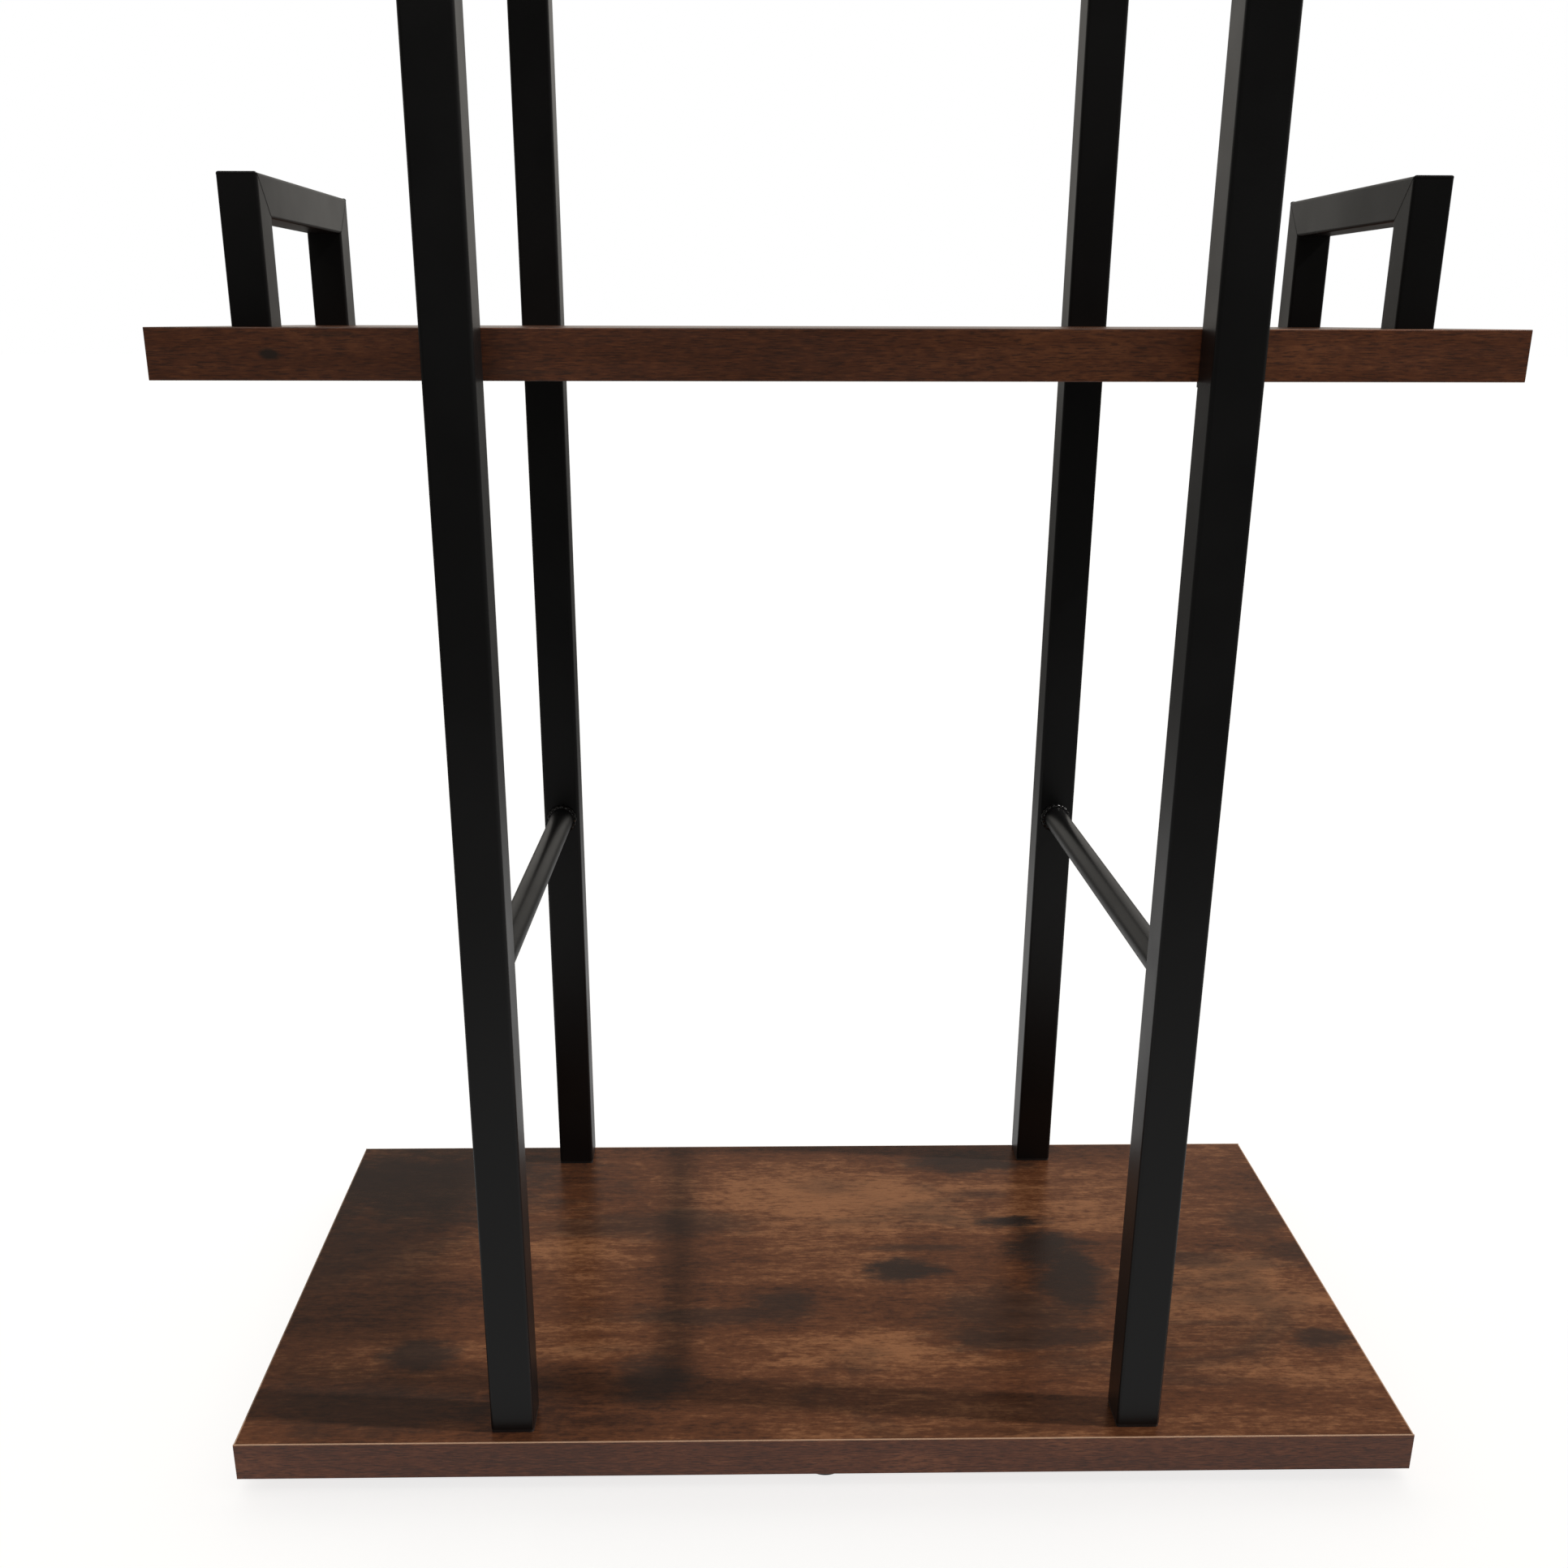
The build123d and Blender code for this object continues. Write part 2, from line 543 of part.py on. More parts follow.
# ---------------------------------------------------------------- levelling feet
with BuildPart() as foot_inserts:
    for diameter, height in (INSERT_FLANGE, INSERT_BARREL):
        extrude(circles(Plane.XY.offset(FOOT_HEIGHT), diameter, FOOT_POINTS), amount=height)
    holes_up(FOOT_HEIGHT, STEM + RUNNING, INSERT_BARREL[1], FOOT_POINTS)
foot_inserts.part.label = "foot_inserts"
export_step(foot_inserts.part, "parts/foot_inserts.step")

FOOT_TAPER = 3  # height of the sloping top of a foot
for place, point in FEET.items():
    with BuildPart() as foot_pad:
        straight = FOOT_HEIGHT - FOOT_GAP - FOOT_TAPER
        extrude(circles(Plane.XY, FOOT, [point]), amount=straight)
        extrude(circles(Plane.XY.offset(straight), FOOT, [point]), amount=FOOT_TAPER, taper=45)
        fillet(foot_pad.edges().group_by(Axis.Z)[0], 1)
        holes_up(STEM_SEAT, STEM + CLEAR, FOOT_HEIGHT, [point])
    foot_pad.part.label = f"{place}_foot_pad"
    export_step(foot_pad.part, f"parts/{place}_foot_pad.step")

    with BuildPart() as foot_stem:
        extrude(circles(Plane.XY.offset(STEM_SEAT), STEM, [point]), amount=STEM_LENGTH)
        chamfer(foot_stem.edges().group_by(Axis.Z)[-1], 0.8)
    foot_stem.part.label = f"{place}_foot_stem"
    export_step(foot_stem.part, f"parts/{place}_foot_stem.step")
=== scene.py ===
"""Looks, light and camera for the hall tree.  Metres, +Z up, the front faces -Y."""

import json
import math

import bpy
from mathutils import Matrix, Vector

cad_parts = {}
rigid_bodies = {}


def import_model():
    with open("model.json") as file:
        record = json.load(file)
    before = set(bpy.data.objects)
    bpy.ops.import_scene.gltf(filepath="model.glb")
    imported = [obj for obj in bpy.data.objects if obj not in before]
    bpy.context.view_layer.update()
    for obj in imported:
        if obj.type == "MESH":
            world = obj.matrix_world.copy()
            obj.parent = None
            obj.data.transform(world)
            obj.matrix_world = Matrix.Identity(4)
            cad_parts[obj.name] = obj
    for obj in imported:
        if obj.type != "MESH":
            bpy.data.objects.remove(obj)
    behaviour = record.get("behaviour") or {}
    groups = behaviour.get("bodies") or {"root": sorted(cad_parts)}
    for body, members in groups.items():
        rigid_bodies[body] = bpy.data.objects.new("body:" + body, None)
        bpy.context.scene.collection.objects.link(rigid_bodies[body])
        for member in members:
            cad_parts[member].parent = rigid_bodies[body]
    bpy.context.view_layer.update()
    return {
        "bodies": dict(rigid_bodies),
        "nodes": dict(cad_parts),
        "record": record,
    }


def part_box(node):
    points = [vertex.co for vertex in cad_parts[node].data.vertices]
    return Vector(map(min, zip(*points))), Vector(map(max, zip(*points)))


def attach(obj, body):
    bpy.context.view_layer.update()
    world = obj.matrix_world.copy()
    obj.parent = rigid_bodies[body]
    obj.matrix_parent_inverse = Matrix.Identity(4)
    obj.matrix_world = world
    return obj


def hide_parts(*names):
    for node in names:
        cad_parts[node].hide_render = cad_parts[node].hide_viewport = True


for default in list(bpy.data.objects):
    bpy.data.objects.remove(default)

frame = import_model()
nodes = frame["nodes"]
slot_of = {part["node"]: part["material_slot"] for part in frame["record"]["subparts"]}

STAND = "stand"
FEET = [body for body in frame["bodies"] if body.endswith("_foot")]


# ---------------------------------------------------------------- building shaders
class Paint:
    """A material under construction.  Each method adds a node and returns its output."""

    def __init__(self, name):
        self.material = bpy.data.materials.new(name)
        self.material.use_nodes = True
        self.tree = self.material.node_tree
        self.surface = self.tree.nodes["Principled BSDF"]

    def feed(self, socket, value):
        if isinstance(value, bpy.types.NodeSocket):
            self.tree.links.new(value, socket)
        elif hasattr(socket.default_value, "__len__") and len(socket.default_value) == 4:
            socket.default_value = (*value[:3], 1)
        else:
            socket.default_value = value

    def node(self, kind, *values, **settings):
        made = self.tree.nodes.new(kind)
        for key, setting in settings.items():
            setattr(made, key, setting)
        for socket, value in zip(made.inputs, values):
            if value is not None:
                self.feed(socket, value)
        return made

    def set(self, **values):
        """Feeds the surface's own sockets, as in set(base_color=..., specular_ior_level=...)."""
        for key, value in values.items():
            socket = key.replace("_", " ").title().replace("Ior", "IOR")
            self.feed(self.surface.inputs[socket], value)

    def place(self):
        return self.node("ShaderNodeTexCoord").outputs["Object"]

    def normal(self):
        return self.node("ShaderNodeNewGeometry").outputs["Normal"]

    def axes(self, vector):
        return self.node("ShaderNodeSeparateXYZ", vector).outputs

    def vector(self, x, y, z):
        return self.node("ShaderNodeCombineXYZ", x, y, z).outputs[0]

    def scaled(self, vector, factors):
        return self.node("ShaderNodeVectorMath", vector, factors, operation="MULTIPLY").outputs[0]

    def shifted(self, vector, offset):
        return self.node("ShaderNodeVectorMath", vector, offset, operation="ADD").outputs[0]

    def length(self, vector):
        return self.node("ShaderNodeVectorMath", vector, operation="LENGTH").outputs["Value"]

    def noise(self, vector, scale=1.0, detail=4.0, rough=0.55, twist=0.0):
        made = self.node("ShaderNodeTexNoise")
        for key, value in {
            "Vector": vector,
            "Scale": scale,
            "Detail": detail,
            "Roughness": rough,
            "Distortion": twist,
        }.items():
            self.feed(made.inputs[key], value)
        return made.outputs["Fac"]

    def math(self, operation, a, b=0.0, c=0.0):
        return self.node("ShaderNodeMath", a, b, c, operation=operation).outputs[0]

    def step(self, value, low, high, to_low=0.0, to_high=1.0):
        """A smooth step: to_low where value is under low, to_high where it is over high."""
        made = self.node("ShaderNodeMapRange", interpolation_type="SMOOTHSTEP")
        for socket, number in zip(made.inputs, (value, low, high, to_low, to_high)):
            self.feed(socket, number)
        return made.outputs[0]

    def mix(self, share, a, b, blend="MIX"):
        made = self.node("ShaderNodeMix", data_type="RGBA", blend_type=blend)
        self.feed(made.inputs["Factor"], share)
        self.feed([s for s in made.inputs if s.name == "A" and s.type == "RGBA"][0], a)
        self.feed([s for s in made.inputs if s.name == "B" and s.type == "RGBA"][0], b)
        return [s for s in made.outputs if s.type == "RGBA"][0]

    def bump(self, height, distance, strength=1.0):
        made = self.node("ShaderNodeBump")
        self.feed(made.inputs["Height"], height)
        self.feed(made.inputs["Distance"], distance)
        self.feed(made.inputs["Strength"], strength)
        self.feed(self.surface.inputs["Normal"], made.outputs[0])


# ---------------------------------------------------------------- printed wood laminate, with painted shadow on the base board
ORANGE = (0.230, 0.100, 0.045)
BROWN = (0.098, 0.036, 0.016)
DARK_BROWN = (0.036, 0.015, 0.009)
CHARCOAL = (0.023, 0.015, 0.012)
# Colour of the painted highlight on the rounded top corners of the edge bands
PAINTED_HIGHLIGHT_TAN = (0.300, 0.190, 0.120)

# Knots and smoky patches printed on each board, and on the base board two marks of
# painted shadow: middle and half size along X and Y in metres, and depth from 0 to 1
BASE_MARKS_AND_PAINTED_SHADOW = [
    (0.062, 0.000, 0.026, 0.014, 0.95),
    (0.147, 0.060, 0.026, 0.009, 1.0),
    (0.120, 0.142, 0.040, 0.017, 0.85),
    (0.126, 0.097, 0.022, 0.007, 0.45),
    (0.160, 0.024, 0.027, 0.028, 0.95),
    (0.178, 0.002, 0.025, 0.034, 0.95),
    (0.170, -0.026, 0.028, 0.024, 0.90),
    (0.125, -0.045, 0.050, 0.026, 0.65),
    (0.130, -0.077, 0.060, 0.015, 0.75),
    (-0.020, -0.036, 0.030, 0.014, 0.75),
    (-0.070, -0.050, 0.080, 0.011, 0.65),
    (0.322, -0.078, 0.024, 0.014, 0.80),
    (0.320, 0.062, 0.026, 0.020, 0.50),
    (0.265, 0.010, 0.030, 0.012, 0.60),
    (-0.250, -0.090, 0.024, 0.018, 0.85),
    # Painted shadow: the far end of the cast shadow of the right front post
    (-0.270, -0.138, 0.070, 0.030, 0.60),
    (-0.290, 0.115, 0.120, 0.075, 0.80),
    (-0.335, 0.030, 0.060, 0.050, 0.45),
    (-0.120, 0.060, 0.080, 0.018, 0.60),
    # Partly painted shadow, darkening the corner where the shadows of the right front post and
    # right crossbar cross, and partly a printed patch
    (-0.100, -0.115, 0.022, 0.024, 0.75),
    (0.065, 0.027, 0.045, 0.004, 0.55),
    (0.255, -0.062, 0.060, 0.004, 0.45),
]
# Areas of the base board where the wood is printed paler, given in the same way
GLOW_LIFT = 0.20  # how much paler
BASE_GLOWS = [
    (0.020, 0.095, 0.110, 0.050, 1.0),
    (0.010, 0.010, 0.060, 0.035, 0.7),
    (0.265, -0.020, 0.075, 0.050, 1.0),
    (0.230, 0.110, 0.050, 0.035, 0.5),
    (-0.160, 0.020, 0.045, 0.030, 1.0),
    (-0.250, 0.010, 0.050, 0.030, 0.5),
    (0.010, -0.085, 0.090, 0.018, 0.9),
    (-0.125, -0.090, 0.040, 0.020, 0.6),
]
SHELF_MARKS = [
    (-0.210, 0.050, 0.050, 0.022, 0.75),
    (-0.060, -0.070, 0.060, 0.018, 0.60),
    (0.120, 0.030, 0.030, 0.020, 0.85),
    (0.250, -0.060, 0.070, 0.030, 0.55),
    (0.030, 0.110, 0.090, 0.016, 0.50),
]
# Knots on the front band of the middle shelf, which lie along X and Z
SHELF_KNOTS = [
    (-0.270, 0.628, 0.0045, 0.0026, 1.0),
    (-0.238, 0.637, 0.012, 0.0014, 0.5),
    (-0.150, 0.620, 0.030, 0.0012, 0.4),
]
HAT_MARKS = [
    (-0.150, -0.040, 0.060, 0.025, 0.70),
    (0.190, 0.060, 0.040, 0.024, 0.80),
    (0.020, 0.020, 0.080, 0.014, 0.50),
    (-0.270, 0.080, 0.070, 0.035, 0.55),
    (0.280, -0.070, 0.060, 0.020, 0.60),
]


SWAY = 0.012  # how far the grain wanders sideways
TONE_OFFSET = -0.70  # brings the sum of the noises into the range of the two steps
BROWN_STEP = (0.42, 0.78)
ORANGE_STEP = (0.72, 1.08)


def wood_tone(paint, along, lift=0.0):
    """The print of the laminate: fibres, streaks and broad bands that run along the first axis.
    lift is how much brighter than usual the wood is printed."""
    x, y, z = paint.axes(along)
    sway = paint.noise(paint.scaled(along, (7.0, 22.0, 22.0)), detail=2)
    swayed = paint.math("MULTIPLY_ADD", sway, SWAY, y)
    grain = paint.vector(x, swayed, z)
    broad = paint.noise(paint.scaled(grain, (3.0, 13.0, 13.0)), detail=3, twist=0.5)
    clouds = paint.noise(paint.scaled(grain, (17.0, 42.0, 42.0)), detail=5, rough=0.6)
    streaks = paint.noise(paint.scaled(grain, (11.0, 120.0, 120.0)), detail=5, rough=0.62)
    fibres = paint.noise(paint.scaled(grain, (75.0, 620.0, 620.0)), detail=4, rough=0.65)
    mottle = paint.noise(paint.scaled(along, (170.0, 330.0, 330.0)), detail=4, rough=0.65)
    layers = ((broad, 0.85), (clouds, 0.50), (streaks, 0.40), (fibres, 0.50), (mottle, 0.60))
    tone = paint.math("ADD", lift, TONE_OFFSET)
    for layer, weight in layers:
        tone = paint.math("MULTIPLY_ADD", layer, weight, tone)
    red = paint.mix(paint.step(tone, *BROWN_STEP), DARK_BROWN, BROWN)
    colour = paint.mix(paint.step(tone, *ORANGE_STEP), red, ORANGE)
    return colour, fibres, streaks


WANDER = 2.4  # how ragged the outline of a mark is, in half sizes
FEATHER = 1.0  # how far its edge breaks up into fibres
MARK_EDGE = (0.45, 1.35)  # where a mark begins to fade and where it ends


def mark_cover(paint, place, marks):
    """How much of each point is covered by a board's knots and patches, from 0 to 1; on the base
    board some of the patches are painted shadow.
    """
    wander = paint.noise(paint.scaled(place, (24.0, 48.0, 48.0)), detail=6, rough=0.7)
    feather = paint.noise(paint.scaled(place, (60.0, 420.0, 420.0)), detail=4, rough=0.7)
    ragged = paint.math("MULTIPLY_ADD", wander, WANDER, -WANDER / 2)
    ragged = paint.math("MULTIPLY_ADD", feather, FEATHER, paint.math("ADD", ragged, -FEATHER / 2))
    cover = 0.0
    for x, y, half_x, half_y, depth in marks:
        offset = paint.shifted(place, (-x, -y, 0))
        distance = paint.length(paint.scaled(offset, (1 / half_x, 1 / half_y, 0)))
        inside = paint.step(paint.math("ADD", distance, ragged), *MARK_EDGE, depth, 0.0)
        cover = paint.math("MAXIMUM", cover, inside)
    return cover


def laminate(name, marks, glows=()):
    """A rustic wood print under a satin overlay, with its grain along X.  The print has a slight
    pearl, so what it reflects takes the colour of the wood."""
    paint = Paint(name)
    place = paint.place()
    lift = paint.math("MULTIPLY", mark_cover(paint, place, glows), GLOW_LIFT) if glows else 0.0
    colour, fibres, streaks = wood_tone(paint, place, lift)
    smoke = paint.noise(paint.scaled(place, (5.5, 13.0, 13.0)), detail=6, rough=0.65, twist=0.5)
    smoke = paint.step(smoke, 0.54, 0.70, 0.0, 0.55)
    # The marks are printed knots and patches, and on the base board also painted shadow
    cover = paint.math("MAXIMUM", smoke, mark_cover(paint, place, marks))
    colour = paint.mix(cover, colour, CHARCOAL)
    pores = paint.noise(paint.scaled(place, (120.0, 1300.0, 1300.0)), detail=2)
    colour = paint.mix(paint.step(pores, 0.60, 0.70, 0.0, 0.6), colour, DARK_BROWN)
    paint.set(base_color=colour, metallic=0.42, specular_ior_level=0.10)
    paint.set(roughness=paint.step(streaks, 0.3, 0.7, 0.22, 0.30))
    paint.bump(fibres, 0.00006, 0.35)
    return paint.material


PLAIN_SHARE = 0.45  # how much of a band's print is an even brown
PALE_DASHES = 0.28
DARK_DASHES = 0.75


def edge_band(name, tint, painted_highlight, knots=()):
    """The printed band round a board's edge, its grain along the band and broken into short
    dashes.  The third argument is a painted highlight: how pale the rounded corner under the
    board's top face is painted, from 0 to 1.  The knots' places are along X and Z."""
    paint = Paint(name)
    place = paint.place()
    x, y, z = paint.axes(place)
    faces_side = paint.step(paint.math("ABSOLUTE", paint.axes(paint.normal())[0]), 0.6, 0.8)
    run = paint.mix(faces_side, place, paint.vector(y, x, z))
    colour, fibres, streaks = wood_tone(paint, run)
    colour = paint.mix(PLAIN_SHARE, colour, BROWN)
    dashes = paint.noise(paint.scaled(run, (150.0, 1500.0, 1500.0)), detail=3, rough=0.6)
    colour = paint.mix(paint.step(dashes, 0.34, 0.46, PALE_DASHES, 0.0), colour, ORANGE)
    colour = paint.mix(paint.step(dashes, 0.52, 0.62, 0.0, DARK_DASHES), colour, DARK_BROWN)
    colour = paint.mix(mark_cover(paint, paint.vector(x, z, 0), knots), colour, CHARCOAL)
    colour = paint.mix(1.0, colour, tint, blend="MULTIPLY")
    # Painted highlight: the rounded top corner is painted paler where it faces up
    up = paint.axes(paint.normal())[2]
    colour = paint.mix(paint.step(up, 0.25, 0.8, 0.0, painted_highlight), colour, PAINTED_HIGHLIGHT_TAN)
    paint.set(base_color=colour, roughness=paint.step(streaks, 0.3, 0.7, 0.38, 0.48))
    paint.bump(fibres, 0.00008, 0.5)
    return paint.material


# ---------------------------------------------------------------- metals and plastics
def powder_coat(name, colour=(0.0034, 0.0034, 0.0036), rough=0.35):
    """Black powder coat: a fine orange-peel surface over steel."""
    paint = Paint(name)
    place = paint.place()
    peel = paint.noise(place, scale=1400.0, detail=2)
    patches = paint.noise(place, scale=9.0, detail=4)
    tone = paint.mix(paint.step(patches, 0.35, 0.7), colour, tuple(c * 1.35 for c in colour))
    paint.set(base_color=tone, specular_ior_level=0.28)
    paint.set(roughness=paint.step(patches, 0.3, 0.7, rough - 0.04, rough + 0.05))
    paint.bump(peel, 0.00012, 0.22)
    return paint.material


def plain_metal(name, colour, rough, brushed=(30.0, 30.0, 900.0)):
    """Bare metal with fine drawn or turned lines."""
    paint = Paint(name)
    place = paint.place()
    lines = paint.noise(paint.scaled(place, brushed), detail=3)
    dull = paint.noise(place, scale=60.0, detail=4)
    tone = paint.mix(paint.step(dull, 0.35, 0.75), colour, tuple(c * 0.72 for c in colour))
    paint.set(base_color=tone, metallic=1.0)
    paint.set(roughness=paint.step(dull, 0.3, 0.7, rough - 0.06, rough + 0.1))
    paint.bump(lines, 0.00004, 0.3)
    return paint.material


def moulded_plastic(name, colour, rough):
    """Plastic with the fine grain of its mould."""
    paint = Paint(name)
    place = paint.place()
    grain = paint.noise(place, scale=1800.0, detail=2)
    cloud = paint.noise(place, scale=40.0, detail=3)
    tone = paint.mix(paint.step(cloud, 0.3, 0.7), colour, tuple(c * 1.4 for c in colour))
    paint.set(base_color=tone, specular_ior_level=0.4)
    paint.set(roughness=paint.step(cloud, 0.3, 0.7, rough - 0.05, rough + 0.05))
    paint.bump(grain, 0.0001, 0.3)
    return paint.material


SMOOTH = {
    "black_steel": powder_coat("black_powder_coat"),
    "weld": powder_coat("weld_powder_coat", rough=0.24),
    "hook_metal": powder_coat("hook_powder_coat", rough=0.33),
    "bare_steel": plain_metal("drawn_steel", (0.42, 0.42, 0.43), 0.38),
    "zinc_screw": plain_metal("zinc_plate", (0.55, 0.56, 0.58), 0.30),
    "black_screw": powder_coat("blackened_screw", (0.016, 0.016, 0.018), 0.30),
    "brass_insert": plain_metal("turned_brass", (0.62, 0.44, 0.19), 0.30),
    "foot_stem": plain_metal("zinc_stem", (0.58, 0.58, 0.60), 0.28),
    "black_plastic": moulded_plastic("black_plug_plastic", (0.012, 0.012, 0.013), 0.5),
    "foot_plastic": moulded_plastic("foot_nylon", (0.016, 0.016, 0.017), 0.55),
}
BOARDS = {
    "base_board": laminate("base_laminate", BASE_MARKS_AND_PAINTED_SHADOW, BASE_GLOWS),
    "middle_shelf": laminate("shelf_laminate", SHELF_MARKS),
    "hat_shelf": laminate("hat_shelf_laminate", HAT_MARKS),
    "hook_board": laminate("hook_board_laminate", []),
}
# The number after each band's tint is the strength of the painted highlight on its top corner
BANDS = {
    "base_edge_bands": edge_band("base_band", (1.20, 0.98, 0.92), 0.85),
    "middle_shelf_edge_bands": edge_band("shelf_band", (1.20, 0.92, 0.66), 0.15, SHELF_KNOTS),
    "hat_shelf_edge_bands": edge_band("hat_shelf_band", (1.20, 0.92, 0.66), 0.15),
    "hook_board_edge_bands": edge_band("hook_board_band", (1.15, 1.0, 0.9), 0.3),
}

for name, node in nodes.items():
    material = BOARDS.get(name) or BANDS.get(name) or SMOOTH[slot_of[name]]
    node.data.materials.clear()
    node.data.materials.append(material)


# ---------------------------------------------------------------- pieces made here
def piece(name, points, faces, material_slot, body, finish=None):
    """A mesh piece that rides on a body and takes its finish from a slot."""
    mesh = bpy.data.meshes.new(name)
    mesh.from_pydata([tuple(p) for p in points], [], faces)
    mesh.validate()
    mesh.update()
    mesh.polygons.foreach_set("use_smooth", [True] * len(mesh.polygons))
    made = bpy.data.objects.new(name, mesh)
    bpy.context.scene.collection.objects.link(made)
    made.data.materials.append(SMOOTH[finish or material_slot])
    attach(made, body)
    return made


def ring_faces(rings, around, first=0, closed_run=False):
    """Quads between successive closed rings of points."""
    faces = []
    for ring in range(rings if closed_run else rings - 1):
        here = first + ring * around
        there = first + (ring + 1) % rings * around
        for step in range(around):
            after = (step + 1) % around
            faces.append((here + step, here + after, there + after, there + step))
    return faces


# Weld beads round the crossbar ends: a fillet with the ripples of the torch
WELD_LEG = 0.0026
RIPPLES = 17
RIPPLE_DEPTH = 0.0005
BEAD_STEPS = 6 * RIPPLES
BEAD_SINK = 0.0004  # how far a bead reaches into the bar
BEAD_BACK = 0.0003  # how far it reaches into the post
BEAD_BELLY = 0.93  # the bead's round, as a share of its leg
BELLY_SHARES = (0.15, 0.35, 0.5, 0.65, 0.85)  # places on the quarter turn of that round


def weld_ring(centre, bar_radius, into):
    """Points of one bead, as closed cross-sections round the bar, and how many each one has."""
    points = []
    for step in range(BEAD_STEPS):
        turn = 2 * math.pi * step / BEAD_STEPS
        swell = RIPPLE_DEPTH * math.cos(RIPPLES * turn) * 0.5
        out = Vector((math.cos(turn), 0, math.sin(turn)))
        inner = bar_radius - BEAD_SINK
        section = [(inner, -BEAD_BACK), (bar_radius + WELD_LEG + swell, -BEAD_BACK)]
        for share in BELLY_SHARES:
            angle = share * math.pi / 2
            belly = WELD_LEG * BEAD_BELLY + swell
            section.append((bar_radius + belly * math.cos(angle), belly * math.sin(angle)))
        section.append((inner, WELD_LEG + swell))
        for radius, rise in section:
            points.append(centre + out * radius + Vector((0, into * rise, 0)))
    return points, len(section)


beads, bead_faces = [], []
for level in ("lower", "upper"):
    for side_name, side in (("left", -1), ("right", 1)):
        low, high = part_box(f"{level}_crossbar_{side_name}")
        radius = (high.z - low.z) / 2
        outer, inner = (low.x, high.x) if side < 0 else (high.x, low.x)
        middle_z = (low.z + high.z) / 2
        ends = ((outer - side * radius, low.y, 1), (inner + side * radius, high.y, -1))
        for x, y, into in ends:
            ring, around = weld_ring(Vector((x, y, middle_z)), radius, into)
            bead_faces += ring_faces(BEAD_STEPS, around, len(beads), closed_run=True)
            beads += ring
welds = piece("crossbar_weld_beads", beads, bead_faces, "black_steel", STAND, finish="weld")
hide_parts("crossbar_welds")


# Seam left by the weld at each mitre of the side rails
SEAM = 0.0006
SEAM_SINK = 0.0003
SEAM_SIDES = 6
CORNER_POINTS = 5
RAIL_CORNER = 0.0015


def mitre_seam(name, middle_x, y_outer, y_way, top, section, corner):
    """A thin raised line that follows the mitre round the tube."""
    half = section / 2
    loop = []
    for sx, sv in ((1, 1), (-1, 1), (-1, -1), (1, -1)):
        for part in range(CORNER_POINTS):
            quarter = part / (CORNER_POINTS - 1) * math.pi / 2
            turn = math.atan2(sv, sx) - math.pi / 4 + quarter
            across = sx * (half - corner) + (corner - SEAM_SINK) * math.cos(turn)
            along = sv * (half - corner) + (corner - SEAM_SINK) * math.sin(turn)
            loop.append((across, along))
    points = []
    for across, along in loop:
        centre = Vector((middle_x + across, y_outer + y_way * (half - along), top - half + along))
        outward = Vector((across, 0, along)).normalized()
        flat = Vector((0, y_way, 1)).normalized()
        for turn in range(SEAM_SIDES):
            angle = 2 * math.pi * turn / SEAM_SIDES
            points.append(centre + (outward * math.cos(angle) + flat * math.sin(angle)) * SEAM)
    faces = ring_faces(len(loop), SEAM_SIDES, closed_run=True)
    return piece(name, points, faces, "black_steel", STAND)


for side_name in ("left", "right"):
    low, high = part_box(f"{side_name}_rail_top")
    middle_x, section = (low.x + high.x) / 2, high.z - low.z
    mitre_seam(f"{side_name}_rail_front_seam", middle_x, low.y, 1, high.z, section, RAIL_CORNER)
    mitre_seam(f"{side_name}_rail_back_seam", middle_x, high.y, -1, high.z, section, RAIL_CORNER)


# Threaded stems of the levelling feet
PITCH = 0.001
THREAD_DEPTH = 0.00055
THREAD_STEPS = 24
ROWS_PER_TURN = 6


def threaded_stem(name, low, high, body):
    """A screw thread wound up a stem, with its two ends closed."""
    x, y, radius = (low.x + high.x) / 2, (low.y + high.y) / 2, (high.x - low.x) / 2
    rows = round((high.z - low.z) / PITCH * ROWS_PER_TURN)
    points = []
    for row in range(rows + 1):
        z = low.z + (high.z - low.z) * row / rows
        end = min(1.0, (high.z - z) / PITCH)
        for step in range(THREAD_STEPS):
            share = step / THREAD_STEPS
            phase = ((z - low.z) / PITCH - share) % 1.0
            flank = abs(phase - 0.5) * 2
            reach = radius - THREAD_DEPTH * (1 - flank * end)
            turn = 2 * math.pi * share
            points.append((x + reach * math.cos(turn), y + reach * math.sin(turn), z))
    faces = ring_faces(rows + 1, THREAD_STEPS)
    faces.append(tuple(range(THREAD_STEPS - 1, -1, -1)))
    faces.append(tuple(rows * THREAD_STEPS + step for step in range(THREAD_STEPS)))
    return piece(name, points, faces, "foot_stem", body)


for body in FEET:
    low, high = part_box(f"{body}_stem")
    stem = threaded_stem(f"{body}_thread", low, high, body)
    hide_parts(f"{body}_stem")


# ---------------------------------------------------------------- floor, light and camera
FLOOR_GLOW = 0.45
FAR_GLOW = 0.02
GLOW_FADE = (0.5, 1.7)  # distances from the object between which the glow fades
FLOOR_LIFT = 0.78  # brings the floor up to the white of the backdrop
SKY_FADE = (-0.6, 0.5)  # from in front of the object to behind it
SKY_LIGHT = (0.08, 0.58)
SKY_COLOUR = (1.0, 0.96, 0.89, 1)
KEY = {
    "towards": (0.272, -0.025, 0.277),
    "strength": 3.9,
    "spread": 2.2,
    "colour": (1.0, 0.97, 0.93),
}
FILL = {
    "towards": (-0.15, -0.70, 0.85),
    "strength": 0.8,
    "spread": 45,
    "colour": (1.0, 0.97, 0.94),
}
CAMERA_PLACE = (-0.0486, -0.9199, 0.6437)
CAMERA_HEADING = -0.93
CAMERA_PITCH = -19.2
CAMERA_ROLL = -0.12
LENS = 36.08
SHIFT = (0.012, 0.053)


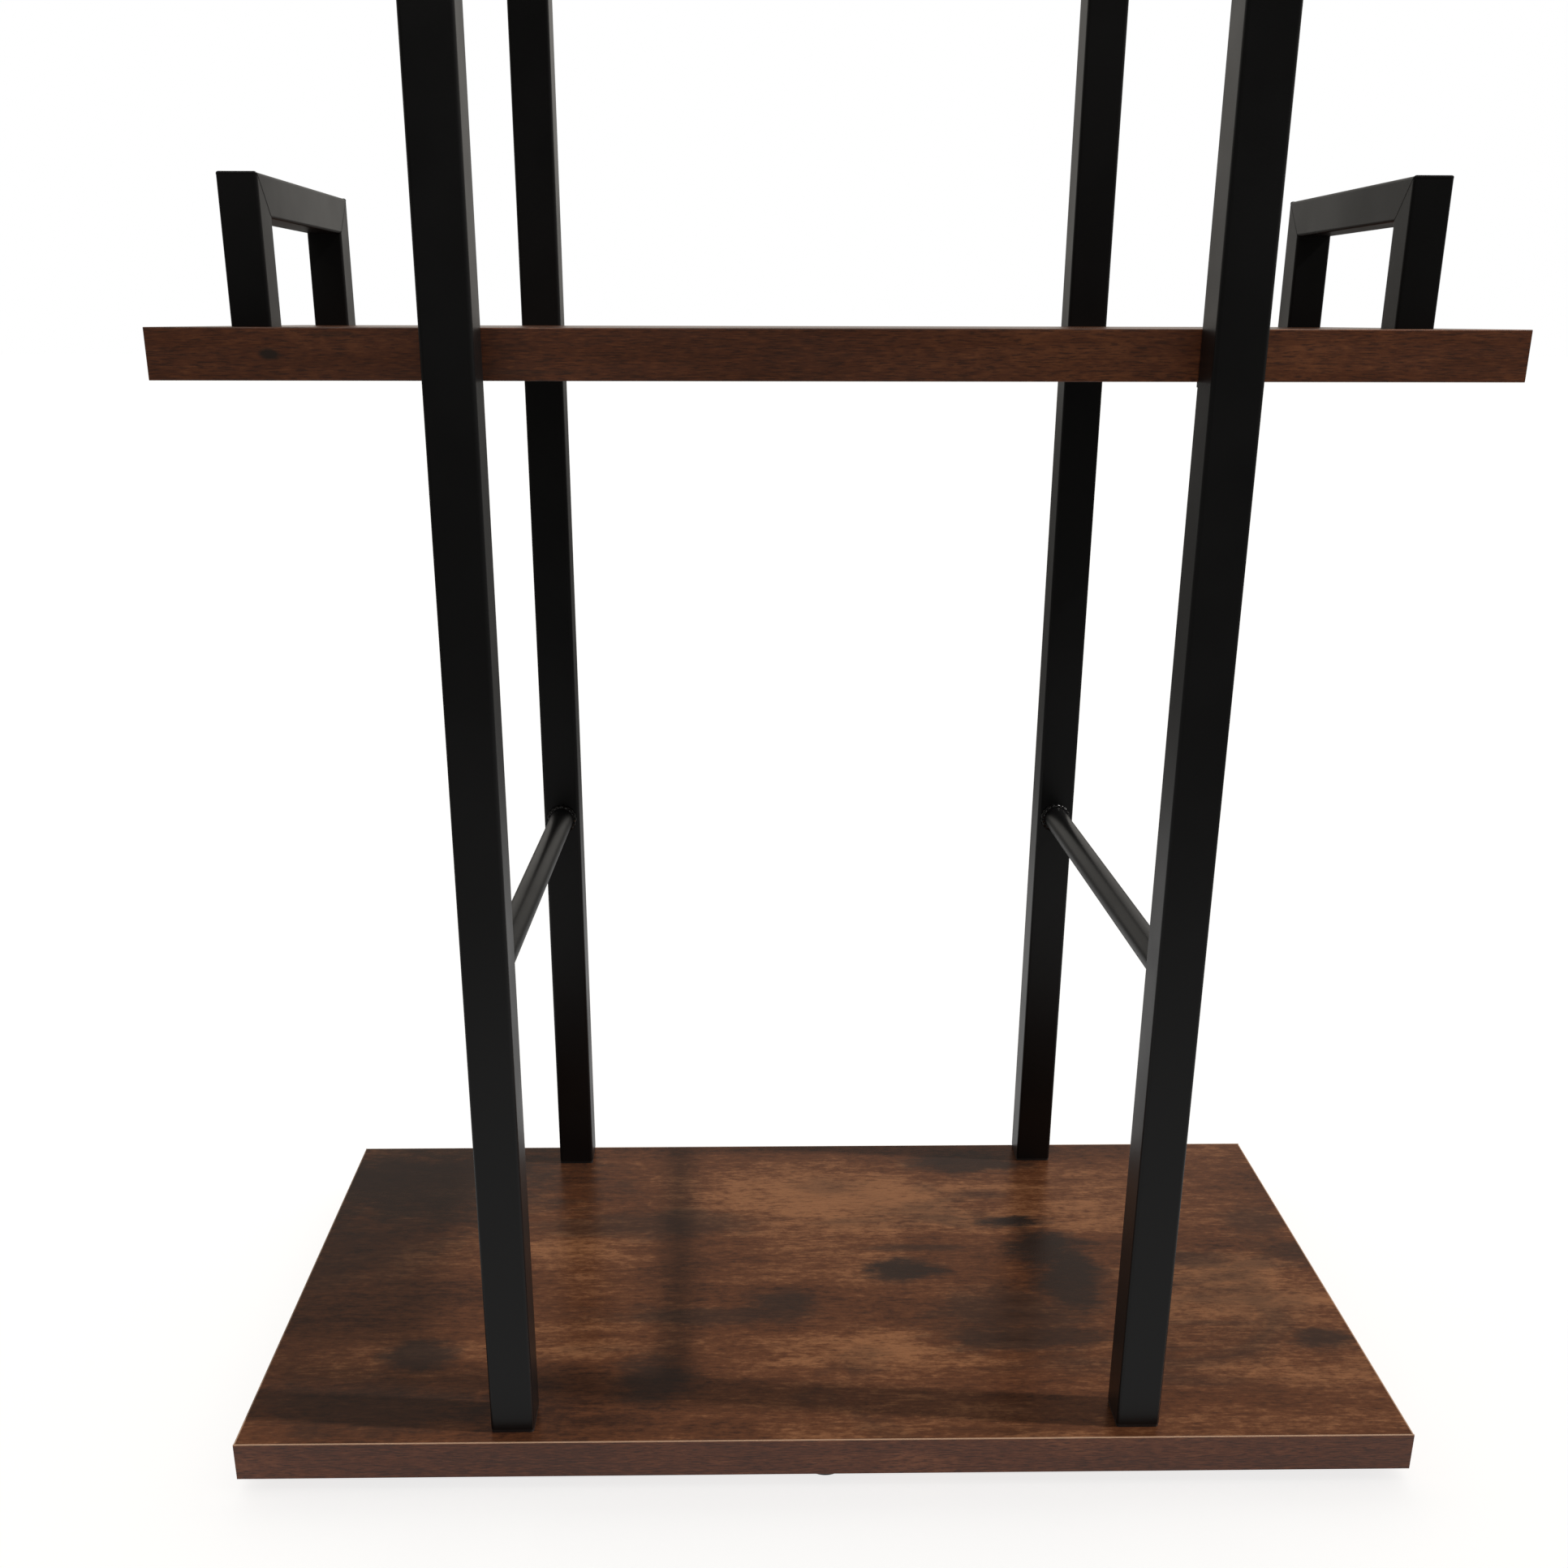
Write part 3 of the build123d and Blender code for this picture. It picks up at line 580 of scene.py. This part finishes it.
def pale_floor(size=30.0):
    """A white floor.  Its glow near the object lights the object's lower half from below."""
    mesh = bpy.data.meshes.new("floor")
    corners = [(-size, -size, 0), (size, -size, 0), (size, size, 0), (-size, size, 0)]
    mesh.from_pydata(corners, [], [(0, 1, 2, 3)])
    floor = bpy.data.objects.new("floor", mesh)
    bpy.context.scene.collection.objects.link(floor)
    paint = Paint("floor_paint")
    seen = paint.node("ShaderNodeLightPath").outputs["Is Camera Ray"]
    near = paint.step(paint.length(paint.place()), *GLOW_FADE, FLOOR_GLOW, FAR_GLOW)
    paint.set(base_color=paint.mix(seen, (0.35, 0.35, 0.35), (0.82, 0.82, 0.81)), roughness=1.0)
    paint.set(specular_ior_level=0.0, emission_color=(1, 1, 1))
    paint.set(emission_strength=paint.step(seen, 0.0, 1.0, near, FLOOR_LIFT))
    floor.data.materials.append(paint.material)
    return floor


def studio_sky():
    """A pale backdrop that lights the object from behind, above and the sides more than from the
    front."""
    world = bpy.data.worlds.new("studio")
    bpy.context.scene.world = world
    world.use_nodes = True
    tree = world.node_tree
    tree.nodes.clear()
    out = tree.nodes.new("ShaderNodeOutputWorld")
    where = tree.nodes.new("ShaderNodeTexCoord")
    axes = tree.nodes.new("ShaderNodeSeparateXYZ")
    tree.links.new(where.outputs["Generated"], axes.inputs[0])
    ramp = tree.nodes.new("ShaderNodeMapRange")
    ramp.interpolation_type = "SMOOTHSTEP"
    for key, value in zip(("From Min", "From Max", "To Min", "To Max"), SKY_FADE + SKY_LIGHT):
        ramp.inputs[key].default_value = value
    tree.links.new(axes.outputs["Y"], ramp.inputs["Value"])
    light = tree.nodes.new("ShaderNodeBackground")
    light.inputs["Color"].default_value = SKY_COLOUR
    tree.links.new(ramp.outputs[0], light.inputs["Strength"])
    plain = tree.nodes.new("ShaderNodeBackground")
    plain.inputs["Color"].default_value = (1, 1, 1, 1)
    plain.inputs["Strength"].default_value = 1.0
    seen = tree.nodes.new("ShaderNodeLightPath")
    both = tree.nodes.new("ShaderNodeMixShader")
    tree.links.new(seen.outputs["Is Camera Ray"], both.inputs[0])
    tree.links.new(light.outputs[0], both.inputs[1])
    tree.links.new(plain.outputs[0], both.inputs[2])
    tree.links.new(both.outputs[0], out.inputs["Surface"])


def lamp(name, floor, towards, strength, spread, colour):
    """A far lamp, whose light falls on everything but the floor.  spread is in degrees."""
    data = bpy.data.lights.new(name, "SUN")
    data.energy = strength
    data.angle = math.radians(spread)
    data.color = colour
    made = bpy.data.objects.new(name, data)
    bpy.context.scene.collection.objects.link(made)
    made.rotation_mode = "QUATERNION"
    made.rotation_quaternion = Vector(towards).to_track_quat("Z", "Y")
    unlit = bpy.data.collections.new(f"not lit by {name}")
    unlit.objects.link(floor)
    made.light_linking.receiver_collection = unlit
    unlit.collection_objects[0].light_linking.link_state = "EXCLUDE"


def turned(axis, degrees):
    return Matrix.Rotation(math.radians(degrees), 4, axis)


def photo_camera():
    """A close view from the height of the middle shelf, looking down."""
    data = bpy.data.cameras.new("camera")
    data.sensor_width = 36.0
    data.lens = LENS
    data.shift_x, data.shift_y = SHIFT
    data.clip_start = 0.01
    camera = bpy.data.objects.new("camera", data)
    bpy.context.scene.collection.objects.link(camera)
    tilt = turned("X", CAMERA_PITCH) @ turned("Y", CAMERA_ROLL)
    aim = turned("Z", CAMERA_HEADING) @ tilt @ turned("X", 90)
    camera.matrix_world = Matrix.Translation(CAMERA_PLACE) @ aim
    bpy.context.scene.camera = camera


floor = pale_floor()
lamp("key", floor, **KEY)
lamp("fill", floor, **FILL)
studio_sky()
photo_camera()
bpy.context.scene.view_settings.view_transform = "Standard"
